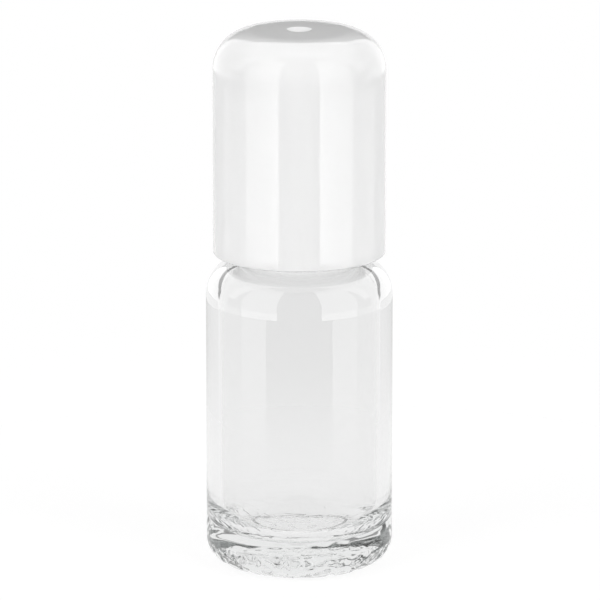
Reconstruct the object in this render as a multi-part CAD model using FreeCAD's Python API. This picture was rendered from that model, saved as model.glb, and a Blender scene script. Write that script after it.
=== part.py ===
# Roll-on bottle: a moulded glass bottle, a ball housing that snaps into its neck, a roller ball, and a
# screw cap made of a glossy shell, a threaded insert and a loose sealing pad that presses on the ball.
# Millimetres, +Z up along the bottle's axis, origin on the table under the middle of the base.
import FreeCAD, Part
import math
import os

# Roller ball and the housing that traps it
ball_diameter = 11.0
ball_clearance = 0.1         # running gap between the ball and its cup
ball_rise = 3.5              # centre of the ball above the glass mouth
lip_rise = 2.0               # top of the housing above the centre of the ball
lip_rounding = 1.4
collar_inset = 0.25          # the collar stands this far inside the outside of the glass neck
seat_wall = 1.0              # cup's thickness under the ball
seat_ledge = 1.3             # from the plug's inside wall to the feed hole
feed_slot_count = 6
feed_slot_width = 0.9
feed_slot_share = 0.8        # how much of the ledge a slot cuts through
plug_length = 6.0
plug_wall = 0.9
fin_count = 3
fin_height = 0.4
fin_slope = 0.7              # length of a sealing fin's sloping side
fin_back = 0.2               # length of its steep side
fin_clearance = 0.03

# Glass neck, its bead and its thread
bore_over_ball = 0.4         # the bore is wider than the ball by this, on the radius
neck_wall = 1.55
neck_foot_rounding = 0.7
mouth_rounding = 0.4
foot_to_thread = 2.8         # plain neck under the thread, with the bead on it
thread_to_mouth = 1.85       # plain neck over the thread
thread_depth = 0.8
thread_pitch = 3.0
thread_turns = 1.5
thread_root_width = 1.5
flank_slope_share = 0.5      # half width lost for each unit of depth
fade_turns = 0.15            # length over which a thread runs out
fade_least_share = 0.12      # height that is left at its very end
sections_per_turn = 24
bead_width = 1.1
bead_inset = 0.2             # the bead is lower than the thread by this
bead_rise_share = 0.6        # middle of the bead, from the foot of the neck to the thread
bead_crest_share = 0.5       # width of the bead's crest, of the whole bead
bead_rounding_share = 0.12

# Glass body
body_diameter = 22.0
body_wall = 1.8
shoulder_height = 36.75      # table to the foot of the neck
shoulder_slope = 20.0        # degrees above level
shoulder_rounding = 4.2
shoulder_wall = 2.0          # thickness where the shoulder meets the barrel
neck_foot_wall = 1.5         # thickness where the shoulder meets the neck
inner_shoulder_rounding = 3.0
inner_neck_rounding = 1.2
floor_thickness = 3.9
floor_crown = 0.2
inner_heel_rounding = 4.1
heel_rounding = 3.0
bearing_ring_width = 0.9
push_up_depth = 1.2
push_up_rounding = 0.5
push_up_flat_share = 0.85    # radius of the raised middle, of the bearing ring's inside

# Sealing pad and its holder in the cap
pad_gap = 0.15               # pad to ball, with the cap screwed down
pad_play = 0.1               # pad to its holder
pad_thickness = 1.2
pad_rounding = 0.15
pad_lip_diameter = 4.4       # inside of the lip that presses on the ball
pad_lip_width = 0.8
holder_wall = 0.8
holder_margin = 1.05         # holder to the insert's wall
holder_bead_reach = 0.3      # how far the holder's bead grips under the pad
holder_bead_height = 0.4

# Threaded insert of the cap
thread_clearance = 0.2       # thread to wall, on the radius
flank_gap = 0.12             # thread to thread, on the side that carries
insert_thread_root_width = 1.2
insert_thread_turns = 1.25
insert_wall = 0.8
insert_top_wall = 1.2
insert_top_rounding = 0.6
insert_lead_in = 0.4
insert_recess = 0.75         # the insert ends this far above the shell's rim

# Glossy shell of the cap
shell_fit = 0.05             # shell to insert
shell_wall = 0.85
shell_top_wall = 1.4
shell_top_rounding = 4.6
shell_crown = 0.15
shell_head_space = 3.75      # from the insert to the shell's ceiling
rim_gap = 0.7                # shell's rim above the foot of the neck
rim_rounding = 0.3
snap_bead_height = 0.25
snap_bead_share = 0.6        # width of the snap bead, of the recess that it stands in
boss_diameter = 6.4
boss_wall = 1.0
dimple_diameter = 3.0
dimple_depth = 0.5

# Allowances for making the solids
weld_depth = 0.3             # how far a thread's root is sunk into its wall
cut_overrun = 1.0
side_share = 0.98            # most of a straight side that its two roundings may use

# Radii, from the ball outwards
ball_radius = ball_diameter / 2
cup_radius = ball_radius + ball_clearance
bore_radius = ball_radius + bore_over_ball
neck_radius = bore_radius + neck_wall
thread_radius = neck_radius + thread_depth
insert_bore_radius = thread_radius + thread_clearance
insert_radius = insert_bore_radius + insert_wall
shell_inner_radius = insert_radius + shell_fit
shell_radius = shell_inner_radius + shell_wall
holder_radius = insert_bore_radius - holder_margin
pad_radius = holder_radius - holder_wall - pad_play
body_radius = body_diameter / 2
inner_radius = body_radius - body_wall

# Heights, from the table upwards
thread_base = shoulder_height + foot_to_thread
thread_first_height = thread_base + thread_root_width / 2
mouth_height = thread_base + thread_root_width + thread_turns * thread_pitch + thread_to_mouth
ball_height = mouth_height + ball_rise
pad_height = ball_height + ball_radius + pad_gap
insert_ceiling = pad_height + pad_thickness + pad_play
insert_top = insert_ceiling + insert_top_wall
shell_ceiling = insert_top + shell_head_space
shell_top = shell_ceiling + shell_top_wall
shell_rim = shoulder_height + rim_gap
insert_rim = shell_rim + insert_recess

ORIGIN = FreeCAD.Vector(0, 0, 0)
UP = FreeCAD.Vector(0, 0, 1)
FULL_TURN = 360


def point(radius, height, turn=0.0):
    """A point at a radius and a height, turned about the axis by a share of a full turn."""
    angle = 2 * math.pi * turn
    return FreeCAD.Vector(radius * math.cos(angle), radius * math.sin(angle), height)


def corner_reaches(places, roundings):
    """Each corner's half angle, and how far its rounding reaches along its sides."""
    count = len(places)
    halves = []
    reaches = []
    for i in range(count):
        back = places[i - 1] - places[i]
        ahead = places[(i + 1) % count] - places[i]
        halves.append(back.getAngle(ahead) / 2)
        reaches.append(roundings[i] / math.tan(halves[i]))
    for i in range(count):
        after = (i + 1) % count
        room = side_share * places[i].distanceToPoint(places[after])
        used = reaches[i] + reaches[after]
        if used > room:
            reaches[i] *= room / used
            reaches[after] *= room / used
    return halves, reaches


def turned(corners):
    """The solid that a closed outline of (radius, height, rounding) corners sweeps about the axis."""
    count = len(corners)
    places = [point(radius, height) for radius, height, rounding in corners]
    halves, reaches = corner_reaches(places, [rounding for radius, height, rounding in corners])
    starts = []
    ends = []
    for i in range(count):
        back = (places[i - 1] - places[i]).normalize()
        ahead = (places[(i + 1) % count] - places[i]).normalize()
        starts.append(places[i] + back * reaches[i])
        ends.append(places[i] + ahead * reaches[i])
    edges = []
    for i in range(count):
        if reaches[i]:
            inwards = (starts[i] + ends[i] - places[i] * 2).normalize()
            rounding = reaches[i] * math.tan(halves[i])
            arc_middle = places[i] + inwards * (rounding / math.sin(halves[i]) - rounding)
            edges.append(Part.Arc(starts[i], arc_middle, ends[i]).toShape())
        edges.append(Part.LineSegment(ends[i], starts[(i + 1) % count]).toShape())
    return Part.Face(Part.Wire(edges)).revolve(ORIGIN, UP, FULL_TURN)


def ring_of(shape, count):
    """Copies of a shape, evenly turned about the axis."""
    copies = []
    for i in range(count):
        copy = shape.copy()
        copy.rotate(ORIGIN, UP, FULL_TURN * i / count)
        copies.append(copy)
    return copies


def eased(share):
    """A share held between 0 and 1, with a soft start and end."""
    share = max(0.0, min(1.0, share))
    return share * share * (3 - 2 * share)


def thread_ridge(wall_radius, crest_radius, root_width, first_height, first_turn, turns):
    """One right-hand helical ridge on a round wall, which runs out at both ends."""
    depth = crest_radius - wall_radius
    sunk_radius = wall_radius - math.copysign(weld_depth, depth)
    sunk_half = root_width / 2 + flank_slope_share * weld_depth
    steps = round(turns * sections_per_turn)
    sections = []
    for i in range(steps + 1):
        along = turns * i / steps
        from_end = min(along, turns - along)
        fade = fade_least_share + (1 - fade_least_share) * eased(from_end / fade_turns)
        faded_radius = wall_radius + depth * fade
        crest_half = root_width / 2 - flank_slope_share * abs(depth) * fade
        height = first_height + thread_pitch * along
        turn = first_turn + along
        corners = [
            point(sunk_radius, height - sunk_half, turn),
            point(faded_radius, height - crest_half, turn),
            point(faded_radius, height + crest_half, turn),
            point(sunk_radius, height + sunk_half, turn),
        ]
        sections.append(Part.makePolygon(corners + corners[:1]))
    return Part.makeLoft(sections, True, False)


def make_glass_bottle():
    """Bottle with a rounded shoulder and heel, a raised base, a neck bead and an outside thread."""
    rise_share = math.tan(math.radians(shoulder_slope))
    level_share = math.cos(math.radians(shoulder_slope))
    shoulder_corner = shoulder_height - (body_radius - neck_radius) * rise_share
    inner_foot = shoulder_height + (neck_radius - bore_radius) * rise_share - neck_foot_wall / level_share
    inner_corner = shoulder_height - (inner_radius - neck_radius) * rise_share - shoulder_wall / level_share
    ring_inner = body_radius - heel_rounding - bearing_ring_width
    flat_radius = ring_inner * push_up_flat_share
    bead_middle = shoulder_height + foot_to_thread * bead_rise_share
    bead_radius = thread_radius - bead_inset
    bead_half = bead_width / 2
    crest_half = bead_half * bead_crest_share
    bead_rounding = bead_width * bead_rounding_share
    glass = turned([
        (0, push_up_depth, 0),
        (flat_radius, push_up_depth, push_up_rounding),
        (ring_inner, 0, 0),
        (body_radius, 0, heel_rounding),
        (body_radius, shoulder_corner, shoulder_rounding),
        (neck_radius, shoulder_height, neck_foot_rounding),
        (neck_radius, bead_middle - bead_half, 0),
        (bead_radius, bead_middle - crest_half, bead_rounding),
        (bead_radius, bead_middle + crest_half, bead_rounding),
        (neck_radius, bead_middle + bead_half, 0),
        (neck_radius, mouth_height, mouth_rounding),
        (bore_radius, mouth_height, mouth_rounding),
        (bore_radius, inner_foot, inner_neck_rounding),
        (inner_radius, inner_corner, inner_shoulder_rounding),
        (inner_radius, floor_thickness, inner_heel_rounding),
        (0, floor_thickness + floor_crown, 0),
    ])
    thread = thread_ridge(
        neck_radius, thread_radius, thread_root_width, thread_first_height, 0.0, thread_turns)
    return glass.fuse(thread)


def make_ball_housing():
    """Snap-in housing: a finned plug in the neck, a collar on the mouth and a round cup for the ball."""
    collar_radius = neck_radius - collar_inset
    plug_radius = bore_radius - fin_height
    plug_inner = plug_radius - plug_wall
    feed_radius = plug_inner - seat_ledge
    fin_radius = bore_radius - fin_clearance
    plug_end = mouth_height - plug_length
    lip_height = ball_height + lip_rise
    outline = [(0, lip_height, 0), (0, plug_end, 0), (plug_radius, plug_end, 0)]
    for i in range(fin_count):
        fin_crest = plug_end + plug_length * (i + 1) / (fin_count + 1)
        outline += [
            (plug_radius, fin_crest - fin_slope, 0),
            (fin_radius, fin_crest, 0),
            (plug_radius, fin_crest + fin_back, 0),
        ]
    outline += [
        (plug_radius, mouth_height, 0),
        (collar_radius, mouth_height, 0),
        (collar_radius, lip_height, lip_rounding),
    ]
    centre = point(0, ball_height)
    cut_start = plug_end - cut_overrun
    cut_length = ball_height - cut_start
    ball_room = Part.makeSphere(cup_radius, centre)
    plug_room = Part.makeCylinder(plug_inner, cut_length, point(0, cut_start))
    plug_room = plug_room.cut(Part.makeSphere(cup_radius + seat_wall, centre))
    feed_hole = Part.makeCylinder(feed_radius, cut_length, point(0, cut_start))
    slot_corner = FreeCAD.Vector(0, -feed_slot_width / 2, cut_start)
    slot_reach = feed_radius + seat_ledge * feed_slot_share
    slot = Part.makeBox(slot_reach, feed_slot_width, cut_length, slot_corner)
    return turned(outline).cut([ball_room, plug_room, feed_hole] + ring_of(slot, feed_slot_count))


def make_roller_ball():
    """The ball that carries the liquid out."""
    return Part.makeSphere(ball_radius, point(0, ball_height))


def make_sealing_pad():
    """Soft pad, loose in the cap, whose ring-shaped lip presses on the ball."""
    lip_inner = pad_lip_diameter / 2
    lip_outer = lip_inner + pad_lip_width
    pad_top = pad_height + pad_thickness

    def over_ball(radius):
        return ball_height + math.sqrt(ball_radius ** 2 - radius ** 2) + pad_gap

    return turned([
        (0, pad_height, 0),
        (lip_inner, pad_height, 0),
        (lip_inner, over_ball(lip_inner), 0),
        (lip_outer, over_ball(lip_outer), pad_rounding),
        (lip_outer, pad_height, 0),
        (pad_radius, pad_height, pad_rounding),
        (pad_radius, pad_top, pad_rounding),
        (0, pad_top, 0),
    ])


def make_cap_insert():
    """Threaded inner sleeve of the cap, with a beaded holder for the sealing pad under its top."""
    holder_inner = holder_radius - holder_wall
    bead_top = pad_height - pad_play
    bead_end = bead_top - holder_bead_height
    sleeve = turned([
        (0, insert_ceiling, 0),
        (holder_inner, insert_ceiling, 0),
        (holder_inner, bead_top, 0),
        (pad_radius - holder_bead_reach, bead_top, 0),
        (holder_inner, bead_end, 0),
        (holder_radius, bead_end, 0),
        (holder_radius, insert_ceiling, 0),
        (insert_bore_radius, insert_ceiling, insert_top_rounding),
        (insert_bore_radius, insert_rim + insert_lead_in, 0),
        (insert_bore_radius + insert_lead_in, insert_rim, 0),
        (insert_radius, insert_rim, 0),
        (insert_radius, insert_top, insert_top_rounding),
        (0, insert_top, 0),
    ])
    flank_overlap = flank_slope_share * (insert_bore_radius - neck_radius)
    flank_sum = (thread_root_width + insert_thread_root_width) / 2 - flank_overlap
    over_lower_turn = thread_pitch - flank_sum - flank_gap
    first_height = thread_base + insert_thread_root_width / 2
    first_turn = (first_height - thread_first_height - over_lower_turn) / thread_pitch
    thread = thread_ridge(
        insert_bore_radius, neck_radius + thread_clearance, insert_thread_root_width,
        first_height, first_turn, insert_thread_turns)
    return sleeve.fuse(thread)


def make_cap_shell():
    """Glossy outer shell with a domed top, a gate dimple, a boss that bears on the insert and a snap bead."""
    boss_outer = boss_diameter / 2
    boss_inner = boss_outer - boss_wall
    bead_top = insert_rim - shell_fit
    bead_width = insert_recess * snap_bead_share
    shell = turned([
        (0, shell_top, 0),
        (shell_radius, shell_top - shell_crown, shell_top_rounding),
        (shell_radius, shell_rim, rim_rounding),
        (shell_inner_radius, shell_rim, rim_rounding),
        (shell_inner_radius, bead_top - bead_width, 0),
        (shell_inner_radius - snap_bead_height, bead_top - bead_width / 2, 0),
        (shell_inner_radius, bead_top, 0),
        (shell_inner_radius, shell_ceiling, shell_head_space - shell_fit),
        (boss_outer, shell_ceiling, 0),
        (boss_outer, insert_top, 0),
        (boss_inner, insert_top, 0),
        (boss_inner, shell_ceiling, 0),
        (0, shell_ceiling, 0),
    ])
    sphere_radius = (dimple_diameter ** 2 / 4 + dimple_depth ** 2) / (2 * dimple_depth)
    dimple = Part.makeSphere(sphere_radius, point(0, shell_top - dimple_depth + sphere_radius))
    return shell.cut(dimple)


def main():
    os.makedirs("parts", exist_ok=True)
    pieces = {
        "glass_bottle": make_glass_bottle(),
        "ball_housing": make_ball_housing(),
        "roller_ball": make_roller_ball(),
        "sealing_pad": make_sealing_pad(),
        "cap_insert": make_cap_insert(),
        "cap_shell": make_cap_shell(),
    }
    for name, shape in pieces.items():
        shape.exportStep(f"parts/{name}.step")
        print(name, "solids", len(shape.Solids), "valid", shape.isValid(), "volume", round(shape.Volume, 2))


main()
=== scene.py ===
"""Roll-on bottle: a clear glass bottle with a glossy white screw cap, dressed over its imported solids.

Lengths are in metres, written as millimetres times MM. +Z runs up the bottle's axis from the table.
"""
import math

import bpy
import numpy as np
from bpy.props import FloatProperty, FloatVectorProperty, PointerProperty
from mathutils import Matrix, Vector, noise


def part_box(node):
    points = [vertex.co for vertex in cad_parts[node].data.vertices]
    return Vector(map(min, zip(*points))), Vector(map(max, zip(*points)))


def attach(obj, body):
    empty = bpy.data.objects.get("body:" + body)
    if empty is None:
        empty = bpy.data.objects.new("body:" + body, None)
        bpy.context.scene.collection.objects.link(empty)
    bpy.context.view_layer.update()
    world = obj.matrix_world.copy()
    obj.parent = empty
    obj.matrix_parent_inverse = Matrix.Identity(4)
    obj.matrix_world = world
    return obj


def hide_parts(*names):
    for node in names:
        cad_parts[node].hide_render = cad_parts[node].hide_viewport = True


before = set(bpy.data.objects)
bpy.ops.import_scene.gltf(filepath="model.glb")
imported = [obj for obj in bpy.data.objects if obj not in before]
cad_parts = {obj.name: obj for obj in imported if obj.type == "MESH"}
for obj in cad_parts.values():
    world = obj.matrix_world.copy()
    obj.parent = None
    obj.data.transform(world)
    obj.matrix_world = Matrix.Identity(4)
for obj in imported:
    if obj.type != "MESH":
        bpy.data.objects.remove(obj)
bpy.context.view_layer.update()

bl_info = {
    "name": "Roll-on bottle",
    "version": (1, 0, 0),
    "blender": (4, 5, 0),
    "location": "3D View > Sidebar > Roll-on bottle",
    "description": "Builds a clear glass roll-on bottle with a glossy screw cap, and its studio",
    "category": "Object",
}

MM = 0.001
GLASS_LOW, GLASS_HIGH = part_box("glass_bottle")
SHELL_LOW, SHELL_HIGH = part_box("cap_shell")

ROWS_AROUND = 320
ARC_STEP = math.radians(7.0)
SIDE_SHARE = 0.98
SHARP_ANGLE = math.radians(40.0)
BROAD_STEP = 0.9 * MM
FINE_STEP = 0.15 * MM

# Glass
PUSH_UP_FLAT_SHARE = 0.85
BEAD_CREST_SHARE = 0.5
BEAD_ROUNDING_SHARE = 0.12
BEARING_ROUNDING = 0.3 * MM
THREAD_FADE_TURNS = 0.15
THREAD_FLANK_SHARE = 0.5
UPRIGHT_SHARE = 0.5
TILTED_SHARE = 0.2
WAVE_LENGTHS = (7.0 * MM, 3.1 * MM)
WAVE_SHARES = (1.0, 0.35)
WAVE_TOP = 12.0 * MM
CREASE_LENGTHS = (2.0 * MM, 0.9 * MM)
CREASE_SHARES = (1.0, 0.4)
CREASE_WIDTH_SHARE = 0.3
GLASS_FACE_COLOUR = (0.94, 0.94, 0.94, 1.0)
GLASS_IOR = 1.52
GLASS_DENSITY = 18.0
GLASS_BOUNCES = 32

# Plastics
BOSS_EDGE_ROUNDING = 0.1 * MM
BOSS_FOOT_ROUNDING = 0.2 * MM
DIMPLE_EDGE_ROUNDING = 0.1 * MM
WHITE = (1.0, 1.0, 1.0, 1.0)
BLACK = (0.0, 0.0, 0.0, 1.0)
COLOUR_DRIFT_SHARE = 0.02
WEAR_SHARE = 0.3
CLOUD_SCALE = 180.0
CLOUD_DETAIL = 3.0
GRAIN_SCALE = 2500.0
GRAIN_DETAIL = 2.0
GRAIN_DEPTH = 0.05 * MM
SOFT_GLOW_DEPTH = 1.0 * MM
SHELL_FINISH = {"roughness": 0.02, "ior": 1.5, "bump_strength": 0.01, "subsurface": 0.5}
INSERT_FINISH = {"roughness": 0.3, "ior": 1.49, "bump_strength": 0.08, "subsurface": 0.5}
PAD_FINISH = {"roughness": 0.55, "ior": 1.48, "bump_strength": 0.12, "subsurface": 0.3}
HOUSING_FINISH = {"roughness": 0.32, "ior": 1.5, "bump_strength": 0.08, "subsurface": 0.4}
BALL_FINISH = {"roughness": 0.12, "ior": 1.49, "bump_strength": 0.03, "subsurface": 0.0}

# Stage
CARD_COLUMNS = 24
CARD_CENTRE = Vector((0.0, 0.0, 30.0 * MM))
SOFTBOX_DISTANCE = 350.0 * MM
FRONT_SOFTBOX_AZIMUTH = math.radians(130.0)
BACK_SOFTBOX_AZIMUTH = math.radians(25.0)
SOFTBOX_WIDTH = 300.0 * MM
SOFTBOX_LOW = -50.0 * MM
SOFTBOX_HIGH = 650.0 * MM
OVERHEAD_HALF_WIDTH = 6000.0 * MM
OVERHEAD_FRONT = -200.0 * MM
OVERHEAD_BACK = 1100.0 * MM
OVERHEAD_HEIGHT = 1000.0 * MM
ROOM_THROUGH_GLASS = 0.92
FLOOR_COLOUR = (0.95, 0.95, 0.95, 1.0)
FLOOR_GLOW_SHARE = 0.84
FLOOR_GLOW = 1.06
FLOOR_GLOW_IN_GLASS = 1.0
FLOOR_FADE_START_SHARE = 0.35
FLOOR_DROP = -0.02 * MM
LOOK_HEIGHT = 33.0 * MM
SENSOR_WIDTH = 36.0
CAMERA_ASIDE = 0.08 * MM
CAMERA_TIP = math.radians(0.094)


class BottleSizes(bpy.types.PropertyGroup):
    """Sizes of the glass bottle."""

    body_radius: FloatProperty(
        name="Body radius", description="Outside of the barrel", default=GLASS_HIGH.x, unit="LENGTH")
    mouth_height: FloatProperty(
        name="Mouth height", description="Table to the top of the neck", default=GLASS_HIGH.z,
        unit="LENGTH")
    body_wall: FloatProperty(
        name="Body wall", description="Thickness of the barrel", default=1.8 * MM, unit="LENGTH")
    shoulder_wall: FloatProperty(
        name="Shoulder wall", description="Thickness of the shoulder", default=2.0 * MM, unit="LENGTH")
    neck_foot_wall: FloatProperty(
        name="Neck foot wall", description="Thickness where the shoulder meets the neck", default=1.5 * MM,
        unit="LENGTH")
    floor_thickness: FloatProperty(
        name="Floor thickness", description="Table to the inside of the floor", default=3.9 * MM,
        unit="LENGTH")
    floor_crown: FloatProperty(
        name="Floor crown", description="Rise of the floor's middle", default=0.2 * MM, unit="LENGTH")
    shoulder_height: FloatProperty(
        name="Shoulder height", description="Table to the foot of the neck", default=36.75 * MM,
        unit="LENGTH")
    shoulder_slope: FloatProperty(
        name="Shoulder slope", description="Rise of the shoulder", default=math.radians(20.0),
        subtype="ANGLE")
    shoulder_rounding: FloatProperty(
        name="Shoulder rounding", description="Outside rounding", default=4.2 * MM, unit="LENGTH")
    inner_shoulder_rounding: FloatProperty(
        name="Inner shoulder rounding", description="Inside rounding", default=3.0 * MM, unit="LENGTH")
    heel_rounding: FloatProperty(
        name="Heel rounding", description="Outside rounding at the base", default=3.0 * MM, unit="LENGTH")
    inner_heel_rounding: FloatProperty(
        name="Inner heel rounding", description="Inside rounding at the floor", default=4.1 * MM,
        unit="LENGTH")
    bearing_ring_width: FloatProperty(
        name="Bearing ring width", description="Flat ring that it stands on", default=0.9 * MM,
        unit="LENGTH")
    push_up_depth: FloatProperty(
        name="Push-up depth", description="Rise of the base's middle", default=1.2 * MM, unit="LENGTH")
    push_up_rounding: FloatProperty(
        name="Push-up rounding", description="Rounding of the raised base", default=0.5 * MM, unit="LENGTH")
    crease_depth: FloatProperty(
        name="Crease depth", description="Uneven chill marks under the base", default=0.22 * MM,
        unit="LENGTH")
    neck_radius: FloatProperty(
        name="Neck radius", description="Outside of the neck", default=7.45 * MM, unit="LENGTH")
    bore_radius: FloatProperty(
        name="Bore radius", description="Inside of the neck", default=5.9 * MM, unit="LENGTH")
    neck_foot_rounding: FloatProperty(
        name="Neck foot rounding", description="Shoulder to neck", default=0.7 * MM, unit="LENGTH")
    inner_neck_rounding: FloatProperty(
        name="Inner neck rounding", description="Bore to shoulder", default=1.2 * MM, unit="LENGTH")
    mouth_rounding: FloatProperty(
        name="Mouth rounding", description="Edges of the mouth", default=0.4 * MM, unit="LENGTH")
    bead_height: FloatProperty(
        name="Bead height", description="Table to the middle of the neck bead", default=38.43 * MM,
        unit="LENGTH")
    bead_radius: FloatProperty(
        name="Bead radius", description="Outside of the neck bead", default=8.05 * MM, unit="LENGTH")
    bead_width: FloatProperty(
        name="Bead width", description="Width of the neck bead", default=1.1 * MM, unit="LENGTH")
    thread_start: FloatProperty(
        name="Thread start", description="Middle of the thread's first end", default=40.3 * MM,
        unit="LENGTH")
    thread_depth: FloatProperty(
        name="Thread depth", description="Height of the thread", default=0.8 * MM, unit="LENGTH")
    thread_width: FloatProperty(
        name="Thread width", description="Width at its root", default=1.5 * MM, unit="LENGTH")
    thread_pitch: FloatProperty(
        name="Thread pitch", description="Rise in one turn", default=3.0 * MM, unit="LENGTH")
    thread_turns: FloatProperty(
        name="Thread turns", description="Length of the thread in turns", default=1.5)
    waviness: FloatProperty(
        name="Waviness", description="Uneven inside and base of pressed glass", default=0.03 * MM,
        unit="LENGTH")


class CapSizes(bpy.types.PropertyGroup):
    """Sizes of the cap's glossy shell."""

    radius: FloatProperty(
        name="Radius", description="Outside of the shell", default=SHELL_HIGH.x, unit="LENGTH")
    rim_height: FloatProperty(
        name="Rim height", description="Table to the rim", default=SHELL_LOW.z, unit="LENGTH")
    top_height: FloatProperty(
        name="Top height", description="Table to the middle of the top", default=64.2 * MM, unit="LENGTH")
    wall: FloatProperty(
        name="Wall", description="Thickness of the side", default=0.85 * MM, unit="LENGTH")
    top_wall: FloatProperty(
        name="Top wall", description="Thickness of the top", default=1.4 * MM, unit="LENGTH")
    top_rounding: FloatProperty(
        name="Top rounding", description="Edge of the domed top", default=4.6 * MM, unit="LENGTH")
    inner_rounding: FloatProperty(
        name="Inner rounding", description="Edge of the ceiling", default=3.7 * MM, unit="LENGTH")
    crown: FloatProperty(
        name="Crown", description="Rise of the top's middle", default=0.15 * MM, unit="LENGTH")
    rim_rounding: FloatProperty(
        name="Rim rounding", description="Edges of the rim", default=0.3 * MM, unit="LENGTH")
    dimple_radius: FloatProperty(
        name="Dimple radius", description="Gate dimple in the top", default=1.5 * MM, unit="LENGTH")
    dimple_depth: FloatProperty(
        name="Dimple depth", description="Depth of the gate dimple", default=0.5 * MM, unit="LENGTH")
    boss_radius: FloatProperty(
        name="Boss radius", description="Boss that bears on the insert", default=3.2 * MM, unit="LENGTH")
    boss_wall: FloatProperty(
        name="Boss wall", description="Thickness of the boss", default=1.0 * MM, unit="LENGTH")
    boss_length: FloatProperty(
        name="Boss length", description="Ceiling to the insert", default=3.75 * MM, unit="LENGTH")


class Finishes(bpy.types.PropertyGroup):
    """Colours of the pieces."""

    glass: FloatVectorProperty(
        name="Glass", description="What a thick piece of the glass lets through", subtype="COLOR",
        default=(0.81, 0.83, 0.825), min=0.0, max=1.0)
    shell: FloatVectorProperty(
        name="Cap shell", description="White plastic", subtype="COLOR", default=(0.84, 0.84, 0.84),
        min=0.0, max=1.0)
    insert: FloatVectorProperty(
        name="Cap insert", description="White plastic", subtype="COLOR", default=(0.78, 0.78, 0.77),
        min=0.0, max=1.0)
    pad: FloatVectorProperty(
        name="Sealing pad", description="Soft plastic", subtype="COLOR", default=(0.74, 0.75, 0.74),
        min=0.0, max=1.0)
    housing: FloatVectorProperty(
        name="Ball housing", description="Natural plastic", subtype="COLOR", default=(0.76, 0.77, 0.76),
        min=0.0, max=1.0)
    ball: FloatVectorProperty(
        name="Roller ball", description="White plastic", subtype="COLOR", default=(0.80, 0.80, 0.79),
        min=0.0, max=1.0)


class StageSizes(bpy.types.PropertyGroup):
    """Camera and light."""

    camera_distance: FloatProperty(
        name="Camera distance", description="Lens to the point it looks at", default=800.0 * MM,
        unit="LENGTH")
    camera_pitch: FloatProperty(
        name="Camera pitch", description="How far the camera looks down", default=math.radians(14.05),
        subtype="ANGLE")
    camera_lens: FloatProperty(
        name="Lens", description="Focal length in millimetres", default=407.6)
    softbox_light: FloatProperty(
        name="Front softboxes", description="Brightness of the two in front, where 1 is white", default=2.5)
    back_light: FloatProperty(
        name="Back softboxes", description="Brightness of the two behind, where 1 is white", default=0.8)
    overhead_light: FloatProperty(
        name="Overhead", description="Brightness of the overhead panel, where 1 is white", default=2.4)
    fill_light: FloatProperty(
        name="Fill", description="Brightness of the room, where 1 is white", default=0.2)
    floor_radius: FloatProperty(
        name="Floor radius", description="Where the floor has faded into the background", default=120.0 * MM,
        unit="LENGTH")


def eased(share):
    """A share held between 0 and 1, with a soft start and end."""
    share = np.clip(share, 0.0, 1.0)
    return share * share * (3.0 - 2.0 * share)


def rounded_outline(corners):
    """Points along an open outline of (radius, height, rounding, longest step to the next corner)."""
    places = [Vector((radius, height)) for radius, height, rounding, step in corners]
    count = len(places)
    reaches = [0.0] * count
    halves = [0.0] * count
    for i in range(1, count - 1):
        halves[i] = (places[i - 1] - places[i]).angle(places[i + 1] - places[i]) / 2
        reaches[i] = corners[i][2] / math.tan(halves[i])
    for i in range(count - 1):
        room = SIDE_SHARE * (places[i + 1] - places[i]).length
        used = reaches[i] + reaches[i + 1]
        if used > room:
            reaches[i] *= room / used
            reaches[i + 1] *= room / used
    points = [places[0]]
    for i in range(1, count):
        step = corners[i - 1][3]
        back = (places[i - 1] - places[i]).normalized()
        start = places[i] + back * reaches[i]
        straight = (start - points[-1]).length
        pieces = max(1, math.ceil(straight / step))
        last = points[-1]
        for k in range(1, pieces + 1):
            points.append(last.lerp(start, k / pieces))
        if reaches[i]:
            ahead = (places[i + 1] - places[i]).normalized()
            rounding = reaches[i] * math.tan(halves[i])
            centre = places[i] + (back + ahead).normalized() * rounding / math.sin(halves[i])
            spoke = start - centre
            turn = math.pi - 2 * halves[i]
            if back.x * ahead.y - back.y * ahead.x > 0:
                turn = -turn
            arc_pieces = max(2, math.ceil(abs(turn) / ARC_STEP))
            for k in range(1, arc_pieces + 1):
                points.append(centre + Matrix.Rotation(turn * k / arc_pieces, 2) @ spoke)
    return np.array([[p.x, p.y] for p in points])


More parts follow.
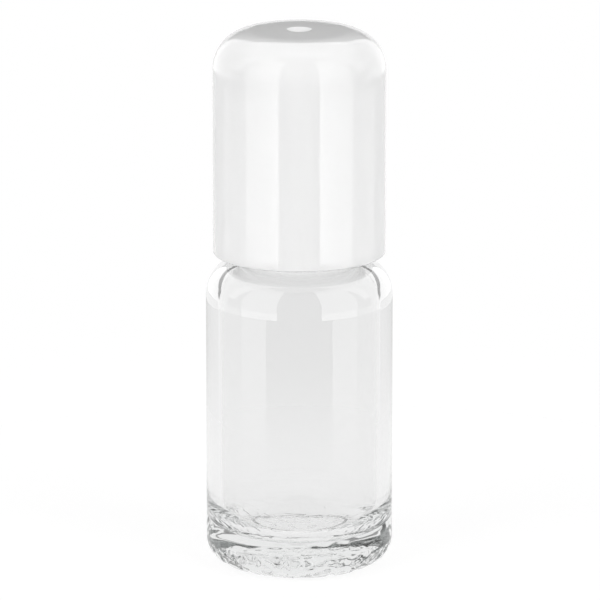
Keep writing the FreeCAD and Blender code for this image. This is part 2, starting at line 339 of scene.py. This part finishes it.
def turned_piece(name, outline, around, relief=None):
    """A closed piece swept about the axis from an outline whose two ends stand on the axis.

    relief gives how far each point stands out along the surface's own normal.
    """
    way = np.gradient(outline, axis=0)
    way /= np.linalg.norm(way, axis=1)[:, None]
    normals = np.column_stack([way[:, 1], -way[:, 0]])
    angles = np.arange(around) * 2 * math.pi / around
    rings = outline[1:-1]
    ring_normals = normals[1:-1]
    radii = np.repeat(rings[:, :1], around, axis=1)
    heights = np.repeat(rings[:, 1:], around, axis=1)
    if relief:
        lift = relief(rings, ring_normals, angles)
        radii += lift * ring_normals[:, :1]
        heights += lift * ring_normals[:, 1:]
    grid = np.stack([radii * np.cos(angles), radii * np.sin(angles), heights], axis=2)
    bottom = [[0.0, 0.0, outline[0, 1]]]
    top = [[0.0, 0.0, outline[-1, 1]]]
    vertices = np.concatenate([bottom, grid.reshape(-1, 3), top])
    ring_count = len(rings)
    here = np.arange(around)
    after = np.roll(here, -1)
    faces = [(0, 1 + b, 1 + a) for a, b in zip(here, after)]
    for i in range(ring_count - 1):
        low = 1 + i * around
        high = low + around
        faces += [(low + a, low + b, high + b, high + a) for a, b in zip(here, after)]
    last_ring = 1 + (ring_count - 1) * around
    pole = 1 + ring_count * around
    faces += [(last_ring + a, last_ring + b, pole) for a, b in zip(here, after)]
    mesh = bpy.data.meshes.new(name)
    mesh.from_pydata(vertices.tolist(), [], [tuple(int(i) for i in face) for face in faces])
    mesh.validate()
    mesh.shade_smooth()
    mesh.set_sharp_from_angle(angle=SHARP_ANGLE)
    piece = bpy.data.objects.new(name, mesh)
    bpy.context.scene.collection.objects.link(piece)
    return piece


def glass_outline(sizes):
    """Outline of the glass, from the middle of the base round the outside and down the inside."""
    rise = math.tan(sizes.shoulder_slope)
    inner_radius = sizes.body_radius - sizes.body_wall
    shoulder_corner = sizes.shoulder_height - (sizes.body_radius - sizes.neck_radius) * rise
    neck_line = sizes.shoulder_height + (sizes.neck_radius - sizes.bore_radius) * rise
    inner_foot = neck_line - sizes.neck_foot_wall / math.cos(sizes.shoulder_slope)
    inner_corner = (neck_line - (inner_radius - sizes.bore_radius) * rise
                    - sizes.shoulder_wall / math.cos(sizes.shoulder_slope))
    ring_inner = sizes.body_radius - sizes.heel_rounding - sizes.bearing_ring_width
    flat_radius = ring_inner * PUSH_UP_FLAT_SHARE
    bead_half = sizes.bead_width / 2
    crest_half = bead_half * BEAD_CREST_SHARE
    bead_rounding = sizes.bead_width * BEAD_ROUNDING_SHARE
    return rounded_outline([
        (0.0, sizes.push_up_depth, 0.0, FINE_STEP),
        (flat_radius, sizes.push_up_depth, sizes.push_up_rounding, FINE_STEP),
        (ring_inner, 0.0, BEARING_ROUNDING, FINE_STEP),
        (sizes.body_radius, 0.0, sizes.heel_rounding, BROAD_STEP),
        (sizes.body_radius, shoulder_corner, sizes.shoulder_rounding, BROAD_STEP),
        (sizes.neck_radius, sizes.shoulder_height, sizes.neck_foot_rounding, FINE_STEP),
        (sizes.neck_radius, sizes.bead_height - bead_half, bead_rounding, FINE_STEP),
        (sizes.bead_radius, sizes.bead_height - crest_half, bead_rounding, FINE_STEP),
        (sizes.bead_radius, sizes.bead_height + crest_half, bead_rounding, FINE_STEP),
        (sizes.neck_radius, sizes.bead_height + bead_half, bead_rounding, FINE_STEP),
        (sizes.neck_radius, sizes.mouth_height, sizes.mouth_rounding, FINE_STEP),
        (sizes.bore_radius, sizes.mouth_height, sizes.mouth_rounding, BROAD_STEP),
        (sizes.bore_radius, inner_foot, sizes.inner_neck_rounding, BROAD_STEP),
        (inner_radius, inner_corner, sizes.inner_shoulder_rounding, BROAD_STEP),
        (inner_radius, sizes.floor_thickness, sizes.inner_heel_rounding, BROAD_STEP),
        (0.0, sizes.floor_thickness + sizes.floor_crown, 0.0, BROAD_STEP),
    ])


def thread_height(sizes, heights, angles):
    """How far the thread stands out of the neck at each height and angle."""
    turn = angles[None, :] / (2 * math.pi)
    lift = np.zeros((len(heights), len(angles)))
    for lap in range(math.ceil(sizes.thread_turns)):
        along = turn + lap
        from_end = np.minimum(along, sizes.thread_turns - along)
        crest = sizes.thread_depth * eased(from_end / THREAD_FADE_TURNS)
        middle = sizes.thread_start + sizes.thread_pitch * along
        off_middle = np.abs(heights[:, None] - middle)
        flank = THREAD_FLANK_SHARE * sizes.thread_depth
        lift = np.maximum(lift, crest * eased((sizes.thread_width / 2 - off_middle) / flank))
    return lift


def layered_noise(place, lengths, shares):
    """Smooth unevenness at a place, made of waves of several lengths."""
    return sum(share * noise.noise(place / length) for length, share in zip(lengths, shares))


def glass_relief(sizes):
    """The thread, the creases under the base and the slight waviness of the glass."""

    def relief(points, normals, angles):
        radii = points[:, 0]
        heights = points[:, 1]
        on_neck = (normals[:, 0] > UPRIGHT_SHARE) & (heights > sizes.bead_height + sizes.bead_width / 2)
        lift = thread_height(sizes, heights, angles) * on_neck[:, None]
        inside = normals[:, 0] < -TILTED_SHARE
        low = heights < WAVE_TOP
        floor = low & (normals[:, 1] > TILTED_SHARE)
        base = low & (normals[:, 1] < -TILTED_SHARE)
        wavy = (inside & low) | floor | base
        for i in np.nonzero(wavy)[0]:
            for k, angle in enumerate(angles):
                place = Vector((radii[i] * math.cos(angle), radii[i] * math.sin(angle), heights[i]))
                lift[i, k] += sizes.waviness * layered_noise(place, WAVE_LENGTHS, WAVE_SHARES)
                if base[i]:
                    crease = abs(layered_noise(place, CREASE_LENGTHS, CREASE_SHARES)) / CREASE_WIDTH_SHARE
                    lift[i, k] = min(lift[i, k], 0.0) - sizes.crease_depth * max(0.0, 1.0 - crease)
        return lift

    return relief


def shell_outline(sizes):
    """Outline of the cap's shell, from the ceiling round the inside and back over the top."""
    inner_radius = sizes.radius - sizes.wall
    ceiling = sizes.top_height - sizes.top_wall
    boss_inner = sizes.boss_radius - sizes.boss_wall
    boss_end = ceiling - sizes.boss_length
    edge_height = sizes.top_height - sizes.crown
    dimple_floor = sizes.top_height - sizes.dimple_depth
    dimple_rounding = (sizes.dimple_radius ** 2 + sizes.dimple_depth ** 2) / (2 * sizes.dimple_depth)
    dimple_slope = math.asin(sizes.dimple_radius / dimple_rounding)
    dimple_middle = sizes.dimple_radius - sizes.dimple_depth / math.tan(dimple_slope)
    return rounded_outline([
        (0.0, ceiling, 0.0, BROAD_STEP),
        (boss_inner, ceiling, 0.0, BROAD_STEP),
        (boss_inner, boss_end, BOSS_EDGE_ROUNDING, BROAD_STEP),
        (sizes.boss_radius, boss_end, BOSS_EDGE_ROUNDING, BROAD_STEP),
        (sizes.boss_radius, ceiling, BOSS_FOOT_ROUNDING, BROAD_STEP),
        (inner_radius, ceiling, sizes.inner_rounding, BROAD_STEP),
        (inner_radius, sizes.rim_height, sizes.rim_rounding, BROAD_STEP),
        (sizes.radius, sizes.rim_height, sizes.rim_rounding, BROAD_STEP),
        (sizes.radius, edge_height, sizes.top_rounding, BROAD_STEP),
        (sizes.dimple_radius, sizes.top_height, DIMPLE_EDGE_ROUNDING, FINE_STEP),
        (dimple_middle, dimple_floor, dimple_rounding, FINE_STEP),
        (0.0, dimple_floor, 0.0, FINE_STEP),
    ])


def new_group(name, inputs, outputs):
    """An empty shader node group with named sockets: its tree, its input node and its output node."""
    tree = bpy.data.node_groups.new(name, "ShaderNodeTree")
    for socket_name, socket_type in inputs:
        tree.interface.new_socket(socket_name, in_out="INPUT", socket_type=socket_type)
    for socket_name, socket_type in outputs:
        tree.interface.new_socket(socket_name, in_out="OUTPUT", socket_type=socket_type)
    return tree, tree.nodes.new("NodeGroupInput"), tree.nodes.new("NodeGroupOutput")


def noise_node(tree, coordinates, detail):
    """A noise texture over the piece's own coordinates."""
    texture = tree.nodes.new("ShaderNodeTexNoise")
    texture.inputs["Detail"].default_value = detail
    tree.links.new(coordinates.outputs["Object"], texture.inputs["Vector"])
    return texture


def moulded_skin_group():
    """Fine unevenness that a mould leaves on plastic: a height, and a colour that drifts a little."""
    tree, given, made = new_group(
        "Moulded skin",
        [
            ("Colour", "NodeSocketColor"),
            ("Drift", "NodeSocketFloat"),
            ("Grain scale", "NodeSocketFloat"),
            ("Roughness", "NodeSocketFloat"),
            ("Wear", "NodeSocketFloat"),
        ],
        [("Colour", "NodeSocketColor"), ("Height", "NodeSocketFloat"), ("Roughness", "NodeSocketFloat")],
    )
    links = tree.links
    coordinates = tree.nodes.new("ShaderNodeTexCoord")
    grain = noise_node(tree, coordinates, GRAIN_DETAIL)
    links.new(given.outputs["Grain scale"], grain.inputs["Scale"])
    links.new(grain.outputs["Fac"], made.inputs["Height"])
    cloud = noise_node(tree, coordinates, CLOUD_DETAIL)
    cloud.inputs["Scale"].default_value = CLOUD_SCALE
    shade = tree.nodes.new("ShaderNodeMath")
    shade.operation = "MULTIPLY"
    links.new(cloud.outputs["Fac"], shade.inputs[0])
    links.new(given.outputs["Drift"], shade.inputs[1])
    darker = tree.nodes.new("ShaderNodeMix")
    darker.data_type = "RGBA"
    darker.inputs["B"].default_value = BLACK
    links.new(shade.outputs["Value"], darker.inputs["Factor"])
    links.new(given.outputs["Colour"], darker.inputs["A"])
    links.new(darker.outputs["Result"], made.inputs["Colour"])
    film = tree.nodes.new("ShaderNodeMath")
    film.operation = "MULTIPLY_ADD"
    links.new(cloud.outputs["Fac"], film.inputs[0])
    links.new(given.outputs["Wear"], film.inputs[1])
    links.new(given.outputs["Roughness"], film.inputs[2])
    links.new(film.outputs["Value"], made.inputs["Roughness"])
    return tree


def moulded_plastic(name, colour, roughness, ior, bump_strength, subsurface):
    """A plastic whose colour, gloss and surface come from the moulded skin."""
    material = bpy.data.materials.new(name)
    material.use_nodes = True
    tree = material.node_tree
    shader = tree.nodes["Principled BSDF"]
    skin = tree.nodes.new("ShaderNodeGroup")
    skin.node_tree = bpy.data.node_groups.get("Moulded skin") or moulded_skin_group()
    skin.inputs["Colour"].default_value = (*colour, 1.0)
    skin.inputs["Drift"].default_value = COLOUR_DRIFT_SHARE
    skin.inputs["Grain scale"].default_value = GRAIN_SCALE
    skin.inputs["Roughness"].default_value = roughness
    skin.inputs["Wear"].default_value = roughness * WEAR_SHARE
    bump = tree.nodes.new("ShaderNodeBump")
    bump.inputs["Strength"].default_value = bump_strength
    bump.inputs["Distance"].default_value = GRAIN_DEPTH
    tree.links.new(skin.outputs["Colour"], shader.inputs["Base Color"])
    tree.links.new(skin.outputs["Roughness"], shader.inputs["Roughness"])
    tree.links.new(skin.outputs["Height"], bump.inputs["Height"])
    tree.links.new(bump.outputs["Normal"], shader.inputs["Normal"])
    shader.inputs["IOR"].default_value = ior
    shader.inputs["Subsurface Weight"].default_value = subsurface
    shader.inputs["Subsurface Scale"].default_value = SOFT_GLOW_DEPTH
    shader.inputs["Subsurface Radius"].default_value = WHITE[:3]
    return material


def clear_glass(colour):
    """Clear glass with a trace of green where it is thick."""
    material = bpy.data.materials.new("clear_glass")
    material.use_nodes = True
    tree = material.node_tree
    shader = tree.nodes["Principled BSDF"]
    shader.inputs["Base Color"].default_value = GLASS_FACE_COLOUR
    shader.inputs["Roughness"].default_value = 0.0
    shader.inputs["IOR"].default_value = GLASS_IOR
    shader.inputs["Transmission Weight"].default_value = 1.0
    absorption = tree.nodes.new("ShaderNodeVolumeAbsorption")
    absorption.inputs["Color"].default_value = (*colour, 1.0)
    absorption.inputs["Density"].default_value = GLASS_DENSITY
    output = tree.nodes["Material Output"]
    tree.links.new(absorption.outputs["Volume"], output.inputs["Volume"])
    return material


def place_piece(piece, material, body, node):
    """Gives a new piece its finish and its body, and hides the imported solid that it stands for."""
    piece.data.materials.append(material)
    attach(piece, body)
    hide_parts(node)


def dress_node(node, material):
    """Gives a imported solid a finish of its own."""
    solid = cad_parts[node]
    solid.data.materials.clear()
    solid.data.materials.append(material)


class ROLLON_OT_glass_bottle(bpy.types.Operator):
    """Blows the clear glass bottle with its thread, bead and raised base"""

    bl_idname = "roll_on.glass_bottle"
    bl_label = "Glass bottle"

    def execute(self, context):
        sizes = context.scene.roll_on_bottle
        finishes = context.scene.roll_on_finishes
        piece = turned_piece("bottle_glass", glass_outline(sizes), ROWS_AROUND, glass_relief(sizes))
        place_piece(piece, clear_glass(finishes.glass), "bottle", "glass_bottle")
        return {"FINISHED"}


class ROLLON_OT_cap_shell(bpy.types.Operator):
    """Moulds the glossy shell of the cap, with its domed top and gate dimple"""

    bl_idname = "roll_on.cap_shell"
    bl_label = "Cap shell"

    def execute(self, context):
        sizes = context.scene.roll_on_cap
        finishes = context.scene.roll_on_finishes
        piece = turned_piece("cap_cover", shell_outline(sizes), ROWS_AROUND)
        material = moulded_plastic("white_plastic", finishes.shell, **SHELL_FINISH)
        place_piece(piece, material, "cap", "cap_shell")
        return {"FINISHED"}


class ROLLON_OT_cap_inside(bpy.types.Operator):
    """Finishes the threaded insert and the soft pad inside the cap"""

    bl_idname = "roll_on.cap_inside"
    bl_label = "Cap inside"

    def execute(self, context):
        finishes = context.scene.roll_on_finishes
        insert = moulded_plastic("insert_plastic", finishes.insert, **INSERT_FINISH)
        pad = moulded_plastic("soft_plastic", finishes.pad, **PAD_FINISH)
        dress_node("cap_insert", insert)
        dress_node("sealing_pad", pad)
        return {"FINISHED"}


class ROLLON_OT_roller(bpy.types.Operator):
    """Finishes the roller ball and the housing that traps it"""

    bl_idname = "roll_on.roller"
    bl_label = "Ball and housing"

    def execute(self, context):
        finishes = context.scene.roll_on_finishes
        housing = moulded_plastic("natural_plastic", finishes.housing, **HOUSING_FINISH)
        ball = moulded_plastic("ball_plastic", finishes.ball, **BALL_FINISH)
        dress_node("ball_housing", housing)
        dress_node("roller_ball", ball)
        return {"FINISHED"}


def looks_at(place, target):
    """Rotation of a lamp or camera at place that looks at target."""
    return (target - place).to_track_quat("-Z", "Y").to_euler()


def add_panel_light(name, place, target, width, height, brightness):
    """A rectangular softbox whose brightness is 1 where it would look white."""
    lamp = bpy.data.lights.new(name, "AREA")
    lamp.shape = "RECTANGLE"
    lamp.size = width
    lamp.size_y = height
    lamp.energy = math.pi * brightness * width * height
    panel = bpy.data.objects.new(name, lamp)
    panel.location = place
    panel.rotation_euler = looks_at(place, target)
    panel.visible_camera = False
    panel.visible_glossy = False
    panel.visible_transmission = False
    bpy.context.scene.collection.objects.link(panel)
    return panel


def direction(azimuth, elevation):
    """Unit vector from the bottle: azimuth 0 is straight behind it and 90 degrees is to its right."""
    level = math.cos(elevation)
    return Vector((math.sin(azimuth) * level, math.cos(azimuth) * level, math.sin(elevation)))


def card_material(name, brightness):
    """A card that looks evenly bright, where 1 is white."""
    material = bpy.data.materials.new(name)
    material.use_nodes = True
    tree = material.node_tree
    tree.nodes.clear()
    glow = tree.nodes.new("ShaderNodeEmission")
    glow.inputs["Color"].default_value = WHITE
    glow.inputs["Strength"].default_value = brightness
    output = tree.nodes.new("ShaderNodeOutputMaterial")
    tree.links.new(glow.outputs["Emission"], output.inputs["Surface"])
    return material


def add_card(name, corners, faces, brightness, in_gloss, through_glass):
    """A card out of the picture that gives no light of its own: gloss shows it, or clear glass, or both."""
    mesh = bpy.data.meshes.new(name)
    mesh.from_pydata(corners, [], faces)
    mesh.materials.append(card_material(name, brightness))
    card = bpy.data.objects.new(name, mesh)
    card.visible_camera = False
    card.visible_diffuse = False
    card.visible_shadow = False
    card.visible_glossy = in_gloss
    card.visible_transmission = through_glass
    bpy.context.scene.collection.objects.link(card)
    return card


def add_round_card(name, rungs, distance, brightness, in_gloss, through_glass):
    """A ribbon bent round the bottle, through rungs of two (azimuth, elevation) pairs in degrees."""
    corners = []
    for first, second in zip(rungs, rungs[1:]):
        for i in range(CARD_COLUMNS):
            share = i / CARD_COLUMNS
            corners += rung_ends([a + (b - a) * share for a, b in zip(first, second)], distance)
    corners += rung_ends(rungs[-1], distance)
    faces = [(2 * i, 2 * i + 2, 2 * i + 3, 2 * i + 1) for i in range(len(corners) // 2 - 1)]
    return add_card(name, corners, faces, brightness, in_gloss, through_glass)


def rung_ends(rung, distance):
    """The two ends of a rung, in metres."""
    angles = [math.radians(angle) for angle in rung]
    return [CARD_CENTRE + direction(*angles[:2]) * distance, CARD_CENTRE + direction(*angles[2:]) * distance]


def upright(azimuths, elevations):
    """The two rungs of a card between two azimuths and two elevations."""
    return [(azimuth, elevations[0], azimuth, elevations[1]) for azimuth in azimuths]


# A card is (name, rungs, distance, brightness, shown in gloss, shown through glass).
# Side cards stand on both sides.
DARK_RUNGS = (
    (25.0, 10.0, 25.0, 16.0),
    (32.0, 7.0, 32.0, 14.0),
    (37.0, 6.0, 37.0, 13.0),
    (42.0, 5.0, 42.0, 11.0),
    (46.0, 0.0, 46.0, 9.0),
    (50.0, -4.0, 50.0, 6.0),
)
MIDDLE_CARDS = (
    ("top_flag", upright((-25.0, 25.0), (12.0, 42.0)), 700.0 * MM, 0.2, True, False),
    ("front_card", upright((138.0, 222.0), (-40.0, 60.0)), 1100.0 * MM, 0.05, True, False),
)
SIDE_CARDS = (
    ("dark_strip", DARK_RUNGS, 650.0 * MM, 0.25, False, True),
    ("low_strip", upright((105.0, 153.0), (-12.9, -7.6)), 350.0 * MM, 2.9, True, False),
    ("outer_strip", upright((62.0, 104.0), (-12.9, -7.6)), 350.0 * MM, 1.7, True, False),
    ("high_strip", upright((105.0, 153.0), (-7.6, 60.0)), 350.0 * MM, 2.1, True, False),
    ("barrel_strip", upright((105.0, 139.0), (-40.0, -13.2)), 360.0 * MM, 1.5, True, False),
    ("side_sky", upright((20.0, 82.0), (-8.0, 44.0)), 690.0 * MM, 1.8, True, False),
    ("edge_card", upright((8.0, 62.0), (-24.0, -13.4)), 360.0 * MM, 0.6, True, False),
)
def greater(tree, first, second):
    """The greater of two values."""
    node = tree.nodes.new("ShaderNodeMath")
    node.operation = "MAXIMUM"
    tree.links.new(first, node.inputs[0])
    tree.links.new(second, node.inputs[1])
    return node.outputs["Value"]


def seen_indirectly(tree):
    """A value that is 1 for what is seen in a reflection or through glass."""
    path = tree.nodes.new("ShaderNodeLightPath").outputs
    return greater(tree, path["Is Glossy Ray"], path["Is Transmission Ray"])


def seen(tree):
    """A value that is 1 for what the camera sees, also in a reflection or through glass."""
    path = tree.nodes.new("ShaderNodeLightPath").outputs
    return greater(tree, path["Is Camera Ray"], seen_indirectly(tree))


def between(tree, value, start, end):
    """A brightness that goes from start to end as a value goes from 0 to 1."""
    node = tree.nodes.new("ShaderNodeMapRange")
    node.inputs["To Min"].default_value = start
    node.inputs["To Max"].default_value = end
    tree.links.new(value, node.inputs["Value"])
    return node.outputs["Result"]


def white_room(fill_light):
    """A world that is white to look at, a little less so through glass, and lights the object gently."""
    world = bpy.data.worlds.new("white_room")
    world.use_nodes = True
    tree = world.node_tree
    tree.nodes.clear()
    through_glass = tree.nodes.new("ShaderNodeLightPath").outputs["Is Transmission Ray"]
    fill = tree.nodes.new("ShaderNodeBackground")
    fill.inputs["Color"].default_value = WHITE
    fill.inputs["Strength"].default_value = fill_light
    white = tree.nodes.new("ShaderNodeBackground")
    white.inputs["Color"].default_value = WHITE
    tree.links.new(between(tree, through_glass, 1.0, ROOM_THROUGH_GLASS), white.inputs["Strength"])
    mix = tree.nodes.new("ShaderNodeMixShader")
    output = tree.nodes.new("ShaderNodeOutputWorld")
    tree.links.new(seen(tree), mix.inputs["Fac"])
    tree.links.new(fill.outputs["Background"], mix.inputs[1])
    tree.links.new(white.outputs["Background"], mix.inputs[2])
    tree.links.new(mix.outputs["Shader"], output.inputs["Surface"])
    return world


def floor_material():
    """Pale floor that keeps a soft shadow and fades into the white background."""
    material = bpy.data.materials.new("pale_floor")
    material.use_nodes = True
    tree = material.node_tree
    tree.nodes.clear()
    paper = tree.nodes.new("ShaderNodeBsdfDiffuse")
    paper.inputs["Color"].default_value = FLOOR_COLOUR
    glow = tree.nodes.new("ShaderNodeEmission")
    brightness = between(tree, seen_indirectly(tree), FLOOR_GLOW, FLOOR_GLOW_IN_GLASS)
    tree.links.new(brightness, glow.inputs["Strength"])
    glow_share = tree.nodes.new("ShaderNodeMath")
    glow_share.operation = "MULTIPLY"
    glow_share.inputs[1].default_value = FLOOR_GLOW_SHARE
    tree.links.new(seen(tree), glow_share.inputs[0])
    lit = tree.nodes.new("ShaderNodeMixShader")
    tree.links.new(glow_share.outputs["Value"], lit.inputs["Fac"])
    tree.links.new(paper.outputs["BSDF"], lit.inputs[1])
    tree.links.new(glow.outputs["Emission"], lit.inputs[2])
    coordinates = tree.nodes.new("ShaderNodeTexCoord")
    from_middle = tree.nodes.new("ShaderNodeVectorMath")
    from_middle.operation = "LENGTH"
    tree.links.new(coordinates.outputs["Object"], from_middle.inputs[0])
    fade = tree.nodes.new("ShaderNodeMapRange")
    fade.interpolation_type = "SMOOTHSTEP"
    fade.inputs["From Min"].default_value = FLOOR_FADE_START_SHARE
    fade.inputs["From Max"].default_value = 1.0
    tree.links.new(from_middle.outputs["Value"], fade.inputs["Value"])
    clear = tree.nodes.new("ShaderNodeBsdfTransparent")
    faded = tree.nodes.new("ShaderNodeMixShader")
    tree.links.new(fade.outputs["Result"], faded.inputs["Fac"])
    tree.links.new(lit.outputs["Shader"], faded.inputs[1])
    tree.links.new(clear.outputs["BSDF"], faded.inputs[2])
    output = tree.nodes.new("ShaderNodeOutputMaterial")
    tree.links.new(faded.outputs["Shader"], output.inputs["Surface"])
    return material


def add_floor(radius):
    """A round pale floor under the bottle."""
    mesh = bpy.data.meshes.new("floor")
    corners = [(-1.0, -1.0, 0.0), (1.0, -1.0, 0.0), (1.0, 1.0, 0.0), (-1.0, 1.0, 0.0)]
    mesh.from_pydata(corners, [], [(0, 1, 2, 3)])
    mesh.materials.append(floor_material())
    floor = bpy.data.objects.new("floor", mesh)
    floor.scale = (radius, radius, 1.0)
    floor.location.z = FLOOR_DROP
    bpy.context.scene.collection.objects.link(floor)
    return floor


def add_camera(sizes):
    """The camera, at the photograph's angle and distance."""
    data = bpy.data.cameras.new("camera")
    data.sensor_width = SENSOR_WIDTH
    data.lens = sizes.camera_lens
    camera = bpy.data.objects.new("camera", data)
    back = Vector((0.0, -math.cos(sizes.camera_pitch), math.sin(sizes.camera_pitch)))
    camera.location = Vector((CAMERA_ASIDE, 0.0, LOOK_HEIGHT)) + back * sizes.camera_distance
    camera.rotation_euler = (math.radians(90.0) - sizes.camera_pitch - CAMERA_TIP, 0.0, 0.0)
    bpy.context.scene.collection.objects.link(camera)
    bpy.context.scene.camera = camera
    return camera


class ROLLON_OT_stage(bpy.types.Operator):
    """Sets up the floor, the lamps, the room and the camera"""

    bl_idname = "roll_on.stage"
    bl_label = "Stage"

    def execute(self, context):
        scene = context.scene
        sizes = scene.roll_on_stage
        scene.view_settings.view_transform = "Standard"
        scene.cycles.max_bounces = GLASS_BOUNCES
        scene.cycles.glossy_bounces = GLASS_BOUNCES
        scene.cycles.transmission_bounces = GLASS_BOUNCES
        scene.world = white_room(sizes.fill_light)
        add_floor(sizes.floor_radius)
        add_camera(sizes)
        middle = Vector((0.0, 0.0, (SOFTBOX_LOW + SOFTBOX_HIGH) / 2))
        for name, azimuth, brightness in (
            ("front_softbox", FRONT_SOFTBOX_AZIMUTH, sizes.softbox_light),
            ("back_softbox", BACK_SOFTBOX_AZIMUTH, sizes.back_light),
        ):
            for side, turn in (("right_", azimuth), ("left_", -azimuth)):
                place = middle + direction(turn, 0.0) * SOFTBOX_DISTANCE
                height = SOFTBOX_HIGH - SOFTBOX_LOW
                add_panel_light(side + name, place, middle, SOFTBOX_WIDTH, height, brightness)
        overhead = [
            (-OVERHEAD_HALF_WIDTH, OVERHEAD_FRONT, OVERHEAD_HEIGHT),
            (OVERHEAD_HALF_WIDTH, OVERHEAD_FRONT, OVERHEAD_HEIGHT),
            (OVERHEAD_HALF_WIDTH, OVERHEAD_BACK, OVERHEAD_HEIGHT),
            (-OVERHEAD_HALF_WIDTH, OVERHEAD_BACK, OVERHEAD_HEIGHT),
        ]
        add_card("overhead_card", overhead, [(0, 1, 2, 3)], sizes.overhead_light, True, False)
        for card in MIDDLE_CARDS:
            add_round_card(*card)
        for name, rungs, *rest in SIDE_CARDS:
            mirrored = [(-first, low, -second, high) for first, low, second, high in rungs]
            add_round_card("right_" + name, rungs, *rest)
            add_round_card("left_" + name, mirrored, *rest)
        return {"FINISHED"}


class ROLLON_PT_panel(bpy.types.Panel):
    """The bottle's sizes, colours and building steps."""

    bl_idname = "ROLLON_PT_panel"
    bl_label = "Roll-on bottle"
    bl_space_type = "VIEW_3D"
    bl_region_type = "UI"
    bl_category = "Roll-on bottle"

    def draw(self, context):
        scene = context.scene
        for group in (scene.roll_on_bottle, scene.roll_on_cap, scene.roll_on_finishes, scene.roll_on_stage):
            box = self.layout.box()
            for setting in group.bl_rna.properties:
                if not setting.is_readonly and setting.identifier != "name":
                    box.prop(group, setting.identifier)
        for operator in OPERATORS:
            self.layout.operator(operator.bl_idname)


OPERATORS = (
    ROLLON_OT_stage,
    ROLLON_OT_glass_bottle,
    ROLLON_OT_roller,
    ROLLON_OT_cap_inside,
    ROLLON_OT_cap_shell,
)
SETTINGS = {
    "roll_on_bottle": BottleSizes,
    "roll_on_cap": CapSizes,
    "roll_on_finishes": Finishes,
    "roll_on_stage": StageSizes,
}


def register():
    for name, group in SETTINGS.items():
        bpy.utils.register_class(group)
        setattr(bpy.types.Scene, name, PointerProperty(type=group))
    for operator in OPERATORS:
        bpy.utils.register_class(operator)
    bpy.utils.register_class(ROLLON_PT_panel)


def unregister():
    bpy.utils.unregister_class(ROLLON_PT_panel)
    for operator in reversed(OPERATORS):
        bpy.utils.unregister_class(operator)
    for name, group in reversed(SETTINGS.items()):
        delattr(bpy.types.Scene, name)
        bpy.utils.unregister_class(group)


def main():
    register()
    bpy.ops.roll_on.stage()
    bpy.ops.roll_on.glass_bottle()
    bpy.ops.roll_on.roller()
    bpy.ops.roll_on.cap_inside()
    bpy.ops.roll_on.cap_shell()


if __name__ == "__main__":
    main()
